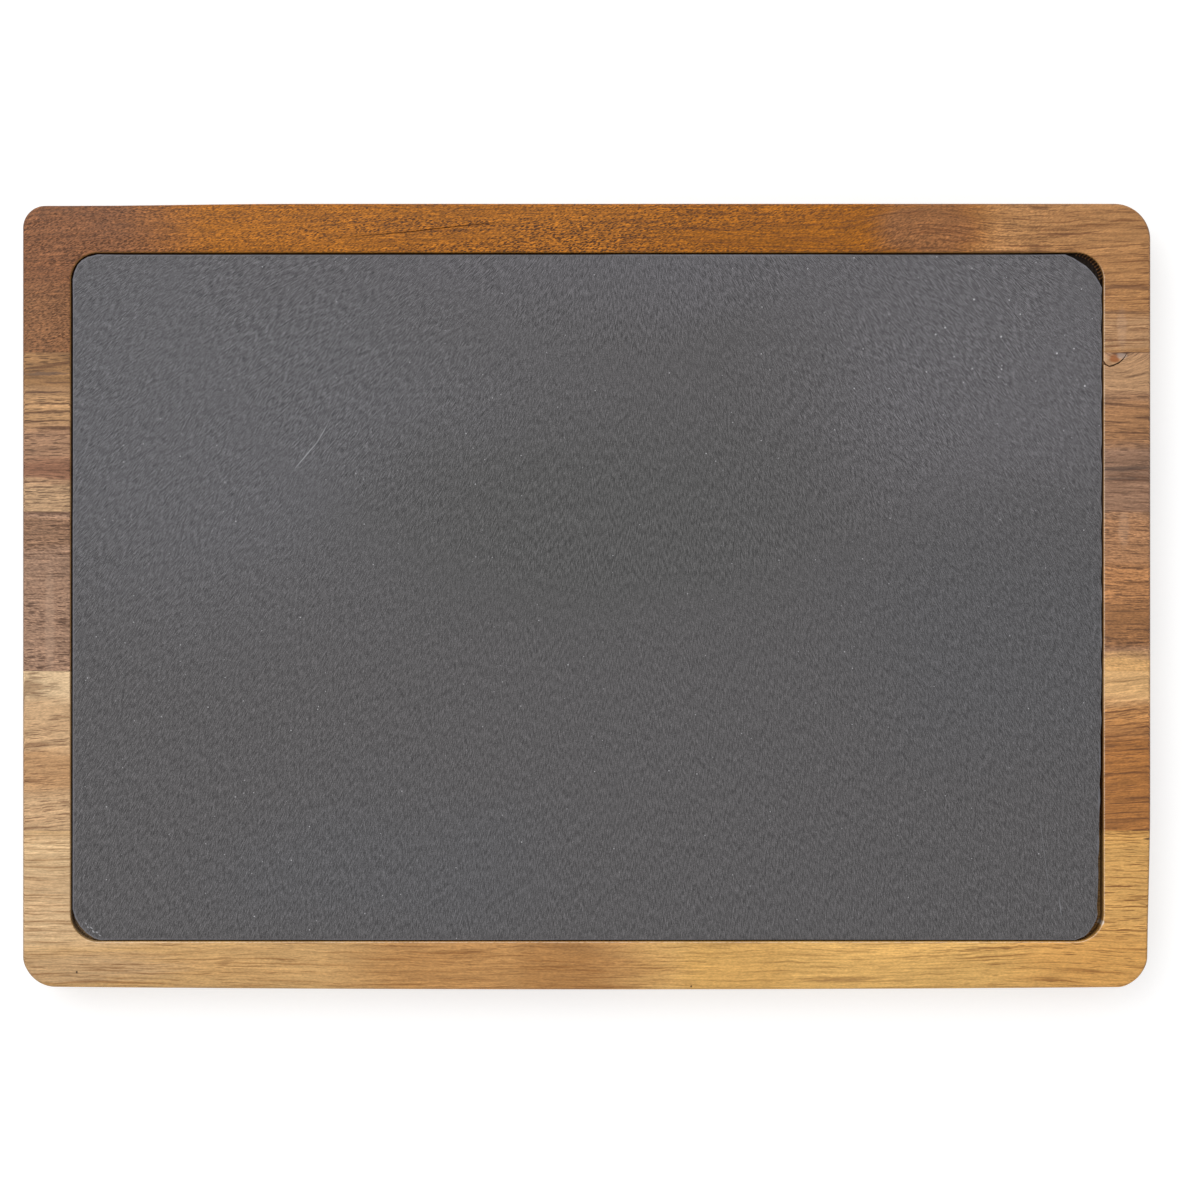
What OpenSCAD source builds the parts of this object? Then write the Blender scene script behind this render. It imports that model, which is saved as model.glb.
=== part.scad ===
// Slate serving board: one slate plate lying loose in the routed recess of a board that is
// glued up from five acacia staves. Millimetres, +X to the right, +Y to the back, +Z up.
// The origin is in the middle of the board's footprint, on the surface that it rests on.

/* [Slate plate] */
// Length of the slate, left to right
slate_l = 301.2; // [200:0.2:420]
// Width of the slate, front to back
slate_w = 200.6; // [160:0.2:280]
// Thickness of the slate
slate_t = 5; // [3:0.5:10]
// Width of the broken edge round the slate's top
slate_top_arris = 0.5; // [0.1:0.05:1]
// Width of the broken edge round the slate's underside
slate_foot_arris = 0.7; // [0.1:0.05:1]
// Height of both broken edges
slate_arris_h = 0.35; // [0.1:0.05:1]

/* [Dressed edges of the slate] */
// How deep the roughly dressed right edge waves
rough_wave_depth = 0.35; // [0:0.05:0.6]
// Length of one wave along the right edge
rough_wave_l = 12; // [8:1:30]
// How deep the three cleaner edges wave
clean_wave_depth = 0.12; // [0:0.02:0.3]
// Length of one wave along the cleaner edges
clean_wave_l = 44; // [30:1:80]
// How far the right edge draws in at its front end
draw_in = 1.3; // [0:0.1:2]
// Length over which the right edge draws in
draw_in_l = 90; // [10:1:100]

/* [Knocked-off corners of the slate] */
// Back left corner, along the back edge
nip_back_left_x = 7.2; // [3:0.1:12]
// Back left corner, along the left edge
nip_back_left_y = 7.2; // [3:0.1:12]
// Back right corner, along the back edge
nip_back_right_x = 10.8; // [3:0.1:12]
// Back right corner, along the right edge
nip_back_right_y = 9.8; // [3:0.1:12]
// Front left corner, along the front edge
nip_front_left_x = 8; // [3:0.1:12]
// Front left corner, along the left edge
nip_front_left_y = 9; // [3:0.1:12]
// Front right corner, along the front edge
nip_front_right_x = 6.5; // [3:0.1:12]
// Front right corner, along the right edge
nip_front_right_y = 7.5; // [3:0.1:12]

/* [Recess] */
// Gap between slate and recess at the left
gap_left = 0.5; // [0.3:0.1:2]
// Gap between slate and recess at the right
gap_right = 0.3; // [0.3:0.1:2]
// Gap between slate and recess at the back
gap_back = 0.5; // [0.3:0.1:2]
// Gap between slate and recess at the front
gap_front = 0.3; // [0.3:0.1:2]
// How far the slate's top lies below the rim
slate_below = 0.2; // [0:0.1:2]
// Radius of the recess's corners, as the router leaves it
recess_r = 8; // [4:0.5:12]
// Width of the softened edge round the recess
rim_arris = 0.5; // [0.2:0.1:1.5]

/* [Board] */
// Width of the rim left of the recess
rim_left = 14.1; // [12:0.1:30]
// Width of the rim right of the recess
rim_right = 13.9; // [12:0.1:30]
// Width of the rim behind the recess
rim_back = 14.4; // [12:0.1:30]
// Width of the rim in front of the recess
rim_front = 14.2; // [12:0.1:30]
// Thickness of the wood under the slate
floor_t = 9.8; // [6:0.1:20]
// Radius of the board's back right corner
back_right_corner_r = 10.5; // [6:0.5:20]
// Radius of the board's back left corner, which is sanded a little sharper
back_left_corner_r = 6.5; // [6:0.5:20]
// Radius of the board's two front corners
front_corner_r = 9.5; // [6:0.5:20]
// Width of the softened edge round the board's top
top_arris = 1; // [0.4:0.1:2.5]
// Width of the softened edge round the board's underside
foot_arris = 1.6; // [0.4:0.1:2.5]

/* [Staves] */
// Width of each of the three inner staves; the outer two take what is left
stave_w = 46.6; // [36:0.2:48]
// How far the middle stave lies behind the board's centre line
stave_shift = 1.5; // [-4:0.1:4]

/* [Push-out hole] */
// Diameter of the hole under the slate, through which a finger lifts it
push_hole_d = 25; // [16:0.5:30]
// Width of the softened edge round the hole's lower end
push_hole_arris = 1.6; // [0.4:0.1:3]

/* [Hidden] */
$fn = 96;

recess_l = gap_left + slate_l + gap_right;
recess_w = gap_front + slate_w + gap_back;
recess_d = slate_t + slate_below;
board_l = rim_left + recess_l + rim_right;
board_w = rim_front + recess_w + rim_back;
board_t = floor_t + recess_d;

// Sides of the recess and middle of the slate, seen from the board's centre
recess_left = rim_left - board_l / 2;
recess_right = board_l / 2 - rim_right;
recess_front = rim_front - board_w / 2;
recess_back = board_w / 2 - rim_back;
slate_x = recess_left + gap_left + slate_l / 2;
slate_y = recess_front + gap_front + slate_w / 2;
push_hole_x = (recess_left + recess_right) / 2;
push_hole_y = (recess_front + recess_back) / 2;

board_low = [-board_l, -board_w] / 2;
board_high = [board_l, board_w] / 2;
board_radii = [back_right_corner_r, back_left_corner_r, front_corner_r, front_corner_r];
recess_low = [recess_left, recess_front];
recess_high = [recess_right, recess_back];
recess_radii = [recess_r, recess_r, recess_r, recess_r];

// Glue lines between the staves, from the front to the back
seam_front = stave_shift - 3 * stave_w / 2;
seam_front_mid = stave_shift - stave_w / 2;
seam_back_mid = stave_shift + stave_w / 2;
seam_back = stave_shift + 3 * stave_w / 2;

// How far each cut runs past the wood
overrun = 3;
// An edge is eased by an arc whose centre lies this share deeper than the edge's width,
// so the arc meets both faces at a slight angle, as sanding leaves it
ease_share = 1.15;

// A dressed edge is drawn with this many points a wave, and its drawn-in stretch with this
// many chords
wave_points = 5;
draw_in_chords = 3;
// The wave is a middle depth, a long swing and a shorter one, as shares of its depth
wave_mid_share = 0.5;
wave_long_share = 0.3;
wave_short_share = 0.2;
wave_short_l_share = 0.62;
wave_short_turn = 40;

// Facets of the knocked-off corners, as shares of each corner's two lengths: first along the
// front or back edge, then along the left or right one. They follow the outline anticlockwise.
front_right_shares = [[1, 0], [0.6, 0.14], [0.42, 0.28], [0.2, 0.55], [0.06, 0.8], [0, 1]];
back_right_shares = [[0, 1], [0.06, 0.87], [0.16, 0.68], [0.3, 0.49], [0.45, 0.33], [0.77, 0.11], [1, 0]];
back_left_shares = [[1, 0], [0.61, 0.1], [0.36, 0.24], [0.2, 0.42], [0.08, 0.68], [0, 1]];
front_left_shares = [[0, 1], [0.1, 0.7], [0.27, 0.45], [0.5, 0.23], [0.78, 0.06], [1, 0]];

// Outline of the slate

// How far a dressed edge lies inside its nominal line, a given way along it
function wave_in(way, depth, wave_l) = depth * (wave_mid_share
    + wave_long_share * sin(360 * way / wave_l)
    + wave_short_share * sin(360 * way / (wave_l * wave_short_l_share) + wave_short_turn));

// The points between the ends of a dressed edge, waved towards its left, where the slate lies
function waved(start, end, depth, wave_l) =
    let (along = end - start, way = norm(along), steps = ceil(way * wave_points / wave_l))
    [for (i = [1:steps - 1]) start + along * i / steps
        + [-along[1], along[0]] / way * wave_in(way * i / steps, depth, wave_l)];

// How far the right edge is drawn in, a given way behind its front end
function drawn_in(way) = draw_in * pow(max(0, 1 - way / draw_in_l), 2);

// The facets of a knocked-off corner; side tells where its edges run to from the corner
function nipped(corner, side, nip, shares) =
    [for (s = shares) corner + [side[0] * nip[0] * s[0], side[1] * nip[1] * s[1]]];

half = [slate_l, slate_w] / 2;
front_right = nipped([half[0] - draw_in, -half[1]], [-1, 1],
    [nip_front_right_x, nip_front_right_y], front_right_shares);
back_right = nipped(half, [-1, -1], [nip_back_right_x, nip_back_right_y], back_right_shares);
back_left = nipped([-half[0], half[1]], [1, -1], [nip_back_left_x, nip_back_left_y], back_left_shares);
front_left = nipped(-half, [1, 1], [nip_front_left_x, nip_front_left_y], front_left_shares);
right_start = [half[0], nip_front_right_y - half[1]];
right_end = [half[0], half[1] - nip_back_right_y];

function last(points) = points[len(points) - 1];

// The outline with its edges waved
slate_outline = concat(
    front_right,
    [for (p = waved(right_start, right_end, rough_wave_depth, rough_wave_l))
        p - [drawn_in(p[1] - right_start[1]), 0]],
    back_right,
    waved(last(back_right), back_left[0], clean_wave_depth, clean_wave_l),
    back_left,
    waved(last(back_left), front_left[0], clean_wave_depth, clean_wave_l),
    front_left,
    waved(last(front_left), front_right[0], clean_wave_depth, clean_wave_l));

// The straight runs along which its sharp edges are broken, convex all round
broken_outline = concat(
    front_right,
    [for (i = [1:draw_in_chords])
        let (way = draw_in_l * i / draw_in_chords)
        right_start + [-drawn_in(way), way]],
    back_right,
    back_left,
    front_left);

// What breaking takes off the edge at z = 0 between two points, with the slate above and to
// the left of the way
module broken_edge(start, end, width) {
    along = end - start;
    translate(concat(start, 0))
        rotate([90, 0, atan2(along[1], along[0]) + 90])
            translate([0, 0, -overrun])
                linear_extrude(norm(along) + 2 * overrun)
                    polygon([[2 * width, -slate_arris_h], [-width, 2 * slate_arris_h],
                        [-width, -slate_arris_h]]);
}

module broken_edges(width) {
    count = len(broken_outline);
    for (i = [0:count - 1])
        broken_edge(broken_outline[i], broken_outline[(i + 1) % count], width);
}

module slate_plate() {
    color("#5f5e60")
        translate([slate_x, slate_y, floor_t])
            difference() {
                linear_extrude(slate_t)
                    polygon(slate_outline);
                broken_edges(slate_foot_arris);
                translate([0, 0, slate_t])
                    mirror([0, 0, 1])
                        broken_edges(slate_top_arris);
            }
}

// Wood

// Section of what easing takes off an edge: the edge is at the origin, and the wood lies
// towards +X, in from its side, and towards +Y, down from its top
module eased_section(width) {
    centre = width * ease_share;
    difference() {
        translate([-overrun, -overrun])
            square(width + overrun);
        translate([centre, centre])
            circle(r = norm([centre, centre - width]));
    }
}

// The corners of a rectangle, from the back right one anticlockwise
function box_corners(low, high) = [high, [low[0], high[1]], low, [high[0], low[1]]];

function turned(v, angle) =
    [v[0] * cos(angle) - v[1] * sin(angle), v[0] * sin(angle) + v[1] * cos(angle)];

// Easing all round the top edge of a rounded rectangle, at z = 0. The wood lies inside the
// rectangle, or outside it round a recess.
module eased_ring(low, high, radii, width, recess = false) {
    corners = box_corners(low, high);
    for (i = [0:3]) {
        next = (i + 1) % 4;
        way = norm(corners[next] - corners[i]) - radii[i] - radii[next];
        translate(concat(corners[i] - radii[i] * turned([1, 1], 90 * i), 0))
            rotate(90 * i)
                rotate_extrude(angle = 90)
                    translate([radii[i], 0])
                        mirror([recess ? 0 : 1, 0])
                            mirror([0, 1])
                                eased_section(width);
        translate(concat(corners[i], 0))
            rotate(90 * i + 180)
                translate([radii[i], 0, 0])
                    mirror([0, recess ? 1 : 0, 0])
                        rotate([90, 0, 90])
                            linear_extrude(way)
                                mirror([0, 1])
                                    eased_section(width);
    }
}

module rounded_rectangle(low, high, radii) {
    corners = box_corners(low, high);
    polygon([for (i = [0:3], side = [[0, 1], [1, 0]])
        corners[i] - radii[i] * turned(side, 90 * i)]);
    for (i = [0:3])
        translate(corners[i] - radii[i] * turned([1, 1], 90 * i))
            circle(r = radii[i]);
}

// The glued-up board before its recess is routed
module blank() {
    difference() {
        linear_extrude(board_t)
            rounded_rectangle(board_low, board_high, board_radii);
        translate([0, 0, board_t])
            eased_ring(board_low, board_high, board_radii, top_arris);
        mirror([0, 0, 1])
            eased_ring(board_low, board_high, board_radii, foot_arris);
    }
}

// What the router takes out of it
module recess() {
    translate([0, 0, floor_t])
        linear_extrude(recess_d + overrun)
            rounded_rectangle(recess_low, recess_high, recess_radii);
    translate([0, 0, board_t])
        eased_ring(recess_low, recess_high, recess_radii, rim_arris, recess = true);
}

module push_hole() {
    translate([push_hole_x, push_hole_y, 0]) {
        translate([0, 0, -overrun])
            cylinder(h = board_t + 2 * overrun, d = push_hole_d);
        rotate_extrude()
            translate([push_hole_d / 2, 0])
                eased_section(push_hole_arris);
    }
}

// One stave of the board, between two glue lines
module stave(front, back) {
    intersection() {
        difference() {
            blank();
            recess();
            push_hole();
        }
        translate([-board_l, front, -overrun])
            cube([2 * board_l, back - front, board_t + 2 * overrun]);
    }
}

module back_stave() { color("#9c6a45") stave(seam_back, board_w); }
module back_mid_stave() { color("#a5806b") stave(seam_back_mid, seam_back); }
module middle_stave() { color("#9f7456") stave(seam_front_mid, seam_back_mid); }
module front_mid_stave() { color("#b9906a") stave(seam_front, seam_front_mid); }
module front_stave() { color("#c9a171") stave(-board_w, seam_front); }

back_stave();
back_mid_stave();
middle_stave();
front_mid_stave();
front_stave();
slate_plate();
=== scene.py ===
from math import atan2, cos, degrees, hypot, pi, radians, sin

import bmesh
import bpy
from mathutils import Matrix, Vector, noise


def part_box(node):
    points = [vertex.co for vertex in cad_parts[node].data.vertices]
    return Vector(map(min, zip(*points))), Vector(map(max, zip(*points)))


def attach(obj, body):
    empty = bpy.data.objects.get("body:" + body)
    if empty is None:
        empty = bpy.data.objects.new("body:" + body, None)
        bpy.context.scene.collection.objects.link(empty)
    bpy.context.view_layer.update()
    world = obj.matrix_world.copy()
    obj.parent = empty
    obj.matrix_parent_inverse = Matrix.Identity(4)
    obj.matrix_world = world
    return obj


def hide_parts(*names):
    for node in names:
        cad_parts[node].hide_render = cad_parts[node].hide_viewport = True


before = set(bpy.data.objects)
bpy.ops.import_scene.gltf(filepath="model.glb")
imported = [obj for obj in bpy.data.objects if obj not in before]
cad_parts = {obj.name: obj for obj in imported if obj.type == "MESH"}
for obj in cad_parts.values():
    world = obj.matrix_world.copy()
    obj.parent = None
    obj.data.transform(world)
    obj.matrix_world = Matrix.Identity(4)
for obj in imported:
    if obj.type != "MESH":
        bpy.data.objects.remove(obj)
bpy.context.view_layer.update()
mm = 0.001
weld = 0.001 * mm          # points this near are one
tiny = 0.01 * mm           # what still counts as lying on a face
noiseSpan = (0.3, 0.7)     # nearly all of a noise lies between these
waveScale = 2 * pi / 20    # of a wave texture that repeats once in each unit


# helpers


def linearColour(hexColour):
    # sRGB hex to the linear values that the shader takes
    channels = [int(hexColour[i:i + 2], 16) / 255 for i in (1, 3, 5)]
    return [c / 12.92 if c <= 0.04045 else ((c + 0.055) / 1.055) ** 2.4 for c in channels] + [1.0]


def addNode(tree, kind, inputs=None, out=0, **settings):
    # adds a node, sets or links its inputs, and gives back one of its outputs
    node = tree.nodes.new("ShaderNode" + kind)
    for name, value in settings.items():
        setattr(node, name, value)
    for name, value in (inputs or {}).items():
        if isinstance(value, bpy.types.NodeSocket):
            tree.links.new(value, node.inputs[name])
        else:
            node.inputs[name].default_value = value
    return node.outputs[out]


def newMaterial(name):
    material = bpy.data.materials.new(name)
    material.use_nodes = True
    tree = material.node_tree
    return material, tree, tree.nodes["Principled BSDF"]


def placeInMm(tree):
    # where on the piece a point lies, and which way its surface faces
    coordinates = addNode(tree, "TexCoord").node.outputs
    inMm = addNode(tree, "VectorMath", {0: coordinates["Object"], "Scale": 1 / mm}, operation="SCALE")
    return inMm, coordinates["Normal"]


def grained(tree, place, sizes, detail=2.0, roughness=0.5):
    # noise from 0 to 1, whose grains have these sizes in mm along X, Y and Z
    scaled = addNode(tree, "Mapping", {"Vector": place, "Scale": [1 / size for size in sizes]})
    return addNode(tree, "TexNoise", {"Vector": scaled, "Scale": 1.0, "Detail": detail,
                                      "Roughness": roughness})


def wandered(tree, place, sizes, swing, detail=2.0, noisePlace=None):
    # a place that noise pushes about, by up to half of swing each way
    wander = grained(tree, place if noisePlace is None else noisePlace, sizes, detail).node.outputs["Color"]
    centred = addNode(tree, "VectorMath", {0: wander, 1: (0.5, 0.5, 0.5)}, operation="SUBTRACT")
    return addNode(tree, "VectorMath", {0: centred, 1: swing, 2: place}, operation="MULTIPLY_ADD")


def spot(tree, place, x, y, halfLength, halfWidth, tilt=0):
    # 0 in the middle of an upright elliptic column, 1 at its side, and more outside it
    tall = 1000
    moved = addNode(tree, "Mapping", {"Vector": place, "Location": (x, y, 0),
                                      "Rotation": (0, 0, radians(tilt)),
                                      "Scale": (halfLength, halfWidth, tall)}, vector_type="TEXTURE")
    return addNode(tree, "VectorMath", {0: moved}, out="Value", operation="LENGTH")


def stain(tree, colour, value, hexColour, strength, edge=(0.0, 1.0)):
    # lays a colour over another: nothing of it where value is edge[0], and full strength at edge[1]
    share = addNode(tree, "MapRange", {0: value, 1: edge[0], 2: edge[1], 3: 0.0, 4: strength},
                    interpolation_type="SMOOTHSTEP")
    return addNode(tree, "Mix", {0: share, 6: colour, 7: linearColour(hexColour)}, out=2, data_type="RGBA")


def shaded(tree, colour, value, swing):
    # makes a colour darker and lighter as value goes from 0 to 1
    level = addNode(tree, "Math", {0: value, 1: 2.0, 2: -1.0}, operation="MULTIPLY_ADD")
    factor = addNode(tree, "Math", {0: level, 1: swing, 2: 1.0}, operation="MULTIPLY_ADD")
    return addNode(tree, "VectorMath", {0: colour, "Scale": factor}, operation="SCALE")


def finishSurface(tree, shader, grain, height, values):
    # gloss that varies with the grain, and a fine relief
    smooth, rough = values["roughness"]
    gloss = addNode(tree, "MapRange", {0: grain, 1: noiseSpan[0], 2: noiseSpan[1], 3: smooth, 4: rough})
    tree.links.new(gloss, shader.inputs["Roughness"])
    shader.inputs["Specular IOR Level"].default_value = values["specular"]
    bump = addNode(tree, "Bump", {"Height": height, "Distance": values["relief"], "Strength": 1.0})
    tree.links.new(bump, shader.inputs["Normal"])


def finishPiece(bm, name, materials, sharpAngle=30):
    # turns a bmesh into a piece at the origin, smooth but for its sharp edges
    mesh = bpy.data.meshes.new(name)
    bm.to_mesh(mesh)
    bm.free()
    for material in materials:
        mesh.materials.append(material)
    mesh.shade_smooth()
    mesh.set_sharp_from_angle(angle=radians(sharpAngle))
    piece = bpy.data.objects.new(name, mesh)
    bpy.context.scene.collection.objects.link(piece)
    return piece


def sliceAt(bm, place, normal, **settings):
    # cuts every face that a plane crosses
    bmesh.ops.bisect_plane(bm, geom=[*bm.verts, *bm.edges, *bm.faces], plane_co=place, plane_no=normal,
                           **settings)


def cutAway(piece, cutter, sharpAngle):
    # takes the cutter's shape out of the piece
    modifier = piece.modifiers.new("cut", "BOOLEAN")
    modifier.object = cutter
    modifier.solver = "EXACT"
    bpy.context.view_layer.update()
    cut = piece.evaluated_get(bpy.context.evaluated_depsgraph_get())
    mesh = bpy.data.meshes.new_from_object(cut)
    piece.modifiers.clear()
    piece.data = mesh
    mesh.shade_smooth()
    mesh.set_sharp_from_angle(angle=radians(sharpAngle))
    bpy.data.objects.remove(cutter)


# camera and light

view = {
    "height": 800 * mm,          # above the rim
    "width": 350.9 * mm,         # what the square frame takes in at the rim
    "middle": (3.9 * mm, -1.0 * mm),
    "sensor": 36,                # mm
}
staveNames = ("back_stave", "back_mid_stave", "middle_stave", "front_mid_stave", "front_stave")
boardLow = Vector([min(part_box(name)[0][i] for name in staveNames) for i in range(3)])
boardHigh = Vector([max(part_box(name)[1][i] for name in staveNames) for i in range(3)])
slateLow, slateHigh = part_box("slate_plate")

cameraData = bpy.data.cameras.new("camera")
cameraData.sensor_width = view["sensor"]
cameraData.lens = view["sensor"] * view["height"] / view["width"]
camera = bpy.data.objects.new("camera", cameraData)
camera.location = (*view["middle"], boardHigh.z + view["height"])
bpy.context.scene.collection.objects.link(camera)
bpy.context.scene.camera = camera
print("camera: straight above the board")

lighting = {
    "keyPlace": (-0.75, 0.85, 1.35),   # behind and to the left, as the rims' pale edges show
    "keySize": 1.5,                    # m
    "keyPower": 13,                    # W
    "skyStrength": 0.68,
    "floorSize": 8,                    # m
    "floorColours": ("#c6c6c6", "#cacaca"),
    "floorGrain": (1.2, 1.2, 1.2),     # mm
    "floorRoughness": 0.9,
    "floorGlow": 0.57,                 # lifts the floor to white for the camera, and keeps its shadow
    "floorDrop": 0.1 * mm,             # keeps the floor's face off the board's
    "floorOpening": 3 * mm,            # how far inside the board's sides the floor is open below it
}


def makeLight():
    lamp = bpy.data.lights.new("softbox", "AREA")
    lamp.shape = "SQUARE"
    lamp.size = lighting["keySize"]
    lamp.energy = lighting["keyPower"]
    softbox = bpy.data.objects.new("softbox", lamp)
    softbox.location = lighting["keyPlace"]
    softbox.rotation_euler = (-Vector(lighting["keyPlace"])).to_track_quat("-Z", "Y").to_euler()
    bpy.context.scene.collection.objects.link(softbox)


def seenByLens(tree):
    # 1 for what the camera sees, also in gloss and through glass
    path = addNode(tree, "LightPath").node
    either = addNode(tree, "Math", {0: path.outputs["Is Camera Ray"], 1: path.outputs["Is Glossy Ray"]},
                     operation="MAXIMUM")
    return addNode(tree, "Math", {0: either, 1: path.outputs["Is Transmission Ray"]}, operation="MAXIMUM")


def makeSky():
    world = bpy.data.worlds.new("sky")
    world.use_nodes = True
    bpy.context.scene.world = world
    tree = world.node_tree
    background = tree.nodes["Background"]
    strength = addNode(tree, "MapRange", {0: seenByLens(tree), 3: lighting["skyStrength"], 4: 1.0})
    tree.links.new(strength, background.inputs["Strength"])
    background.inputs["Color"].default_value = (1, 1, 1, 1)


def makeFloor():
    material, tree, shader = newMaterial("pale floor paint")
    grain = grained(tree, placeInMm(tree)[0], lighting["floorGrain"])
    dark, pale = lighting["floorColours"]
    paint = stain(tree, linearColour(dark), grain, pale, 1.0, noiseSpan)
    tree.links.new(paint, shader.inputs["Base Color"])
    shader.inputs["Roughness"].default_value = lighting["floorRoughness"]
    shader.inputs["Emission Color"].default_value = (1, 1, 1, 1)
    glow = addNode(tree, "Math", {0: seenByLens(tree), 1: lighting["floorGlow"]}, operation="MULTIPLY")
    tree.links.new(glow, shader.inputs["Emission Strength"])
    # seen from below it is clear, and open under the board, so that the sky lights the underside
    behind = addNode(tree, "NewGeometry", out="Backfacing")
    clear = addNode(tree, "BsdfTransparent")
    surface = addNode(tree, "MixShader", {0: behind, 1: shader.outputs[0], 2: clear})
    tree.links.new(surface, tree.nodes["Material Output"].inputs["Surface"])
    bm = bmesh.new()
    bmesh.ops.create_grid(bm, x_segments=1, y_segments=1, size=lighting["floorSize"] / 2)
    for across in (Vector((1, 0, 0)), Vector((0, 1, 0))):
        for side, inwards in ((boardLow, 1), (boardHigh, -1)):
            place = across * (side.dot(across) + inwards * lighting["floorOpening"])
            sliceAt(bm, place, across)
    below = min(bm.faces, key=lambda face: face.calc_center_median().length)
    bmesh.ops.delete(bm, geom=[below], context="FACES")
    bmesh.ops.translate(bm, vec=(0, 0, -lighting["floorDrop"]), verts=bm.verts)
    finishPiece(bm, "floor", [material])


makeLight()
makeSky()
makeFloor()
bpy.context.scene.view_settings.view_transform = "Standard"
print("light: one large softbox, a pale sky and a white floor")


# wood

# Acacia, edge-glued, planed, sanded and oiled. Seen close it has short dark pores that run with
# the grain, soft brown growth lines, a fine fibre shimmer and slow changes of colour.
acacia = {
    "glueLine": ("#4a3122", 0.5),        # colour and strength, where it shows at all
    "glueLineWidth": 0.17,               # mm to either side
    "glueLineRuns": (16, 4, 4),          # mm
    "glueLineEdge": (0.4, 0.6),
    "fibre": (5.0, 0.38, 0.38),          # mm along X, Y and Z
    "mottle": (0.9, 0.32, 0.32),
    "broadLine": 0.4,                    # of the thin lines' strength
    "broadLineNoise": (3.0, 0.6),        # detail and roughness
    "broadLineEdge": (0.6, 0.8),         # of that noise, where a line starts and is full
    "broadLineCrowd": 0.3,               # how many more there are in a thick ring
    "fineLine": (0.8, 0.42),             # of the growth lines' length and spacing
    "fineLineEdge": (0.42, 0.32),
    "drift": ((26, 2.2, 2.2), (12, 6, 0)),         # how patches feather: grains and swing in mm
    "bend": ((75, 28, 28), (0, 7, 3)),             # the same for the grain's long bends
    "ripple": ((7, 3.5, 3.5), (0, 0.7, 0.5)),      # and short ones
    "uneven": ((3, 1.2, 1.2), (1.5, 1.0, 0)),      # and for the edges of single marks
    "seedStep": (431, 67),               # mm from one stave's noise to the next one's
    "ring": (60, 5, 1),
    "ringArc": 6.0,                      # mm of noise per radian round the pith
    "patchEdge": (1.3, 0.6),             # of a patch's half sizes, where it starts and is full
    "streakEdge": (1.2, 0.5),
    "calmEdge": (0.6, 1.3),
    "poreRings": (0.36, 0.56),           # of the rings' noise, where pores are scarce and crowded
    "poreShares": (0.1, 0.55),
    "poreSpread": 0.45,                  # how much one pore differs from the next
    "poreEdge": (-0.04, 0.08),
    "poreSlope": 0.25,
    "roughness": (0.44, 0.62),
    "specular": 0.25,
    "relief": 0.045 * mm,
    "endGrain": ("#4a2c18", 0.45, (0.35, 0.95)),   # drinks more oil and looks darker
    "routed": ("#2c1a10", 0.35, (0.2, 0.7)),       # what the router leaves is rougher
    "recessShade": ("#120b08", 0.95),          # and painted shade, nearly black in the back right corner of the recess
    "recessShadePlace": (151, 100, 22, 22),    # mm, and its half sizes
    "recessShadeFade": (1.3, 0.7),             # of those half sizes
    "recessShadeElsewhere": 0.12,
    "recessShadeReach": (7, 3),                # mm from the wall where the painted shade starts and is full
    "recessShadeDepth": (0.6, 1.7),            # mm below the rim, the same for the walls
    "rib": ("#b07c4e", 0.9),
    "ribFade": (1.0, 0.9),
    "ribEdge": (0.6, 0.1),               # of a rib's width
    "arrisHighlight": ("#f4dcc6", 0.55),      # painted highlight: the sanded arris round the recess catches the light
    "arrisHighlightSide": (-0.7, 0.7, 0),     # where it faces the lamp, so at the front and the right
    "arrisHighlightLit": (0.05, 0.3),
    "arrisHighlightFrom": (0.5, 0.2),         # mm from the wall
    "arrisHighlightBreaks": ((0.35, 0.6), 0.35),          # of the mottle, and what is left of the painted highlight where the mottle breaks it up
    "litWallTop": ("#8a6626", 0.7),         # painted light on the top of the wall's inner side, yellow, with the rest of the wall in the dark
    "litWallTopReach": 0.3,                 # mm from the wall
    "litWallTopDepth": 1,                   # mm below the rim
    "toolPitch": 1.1,                    # mm between the router's marks on the floor of the recess
    "toolWander": 0.6,
}

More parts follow.
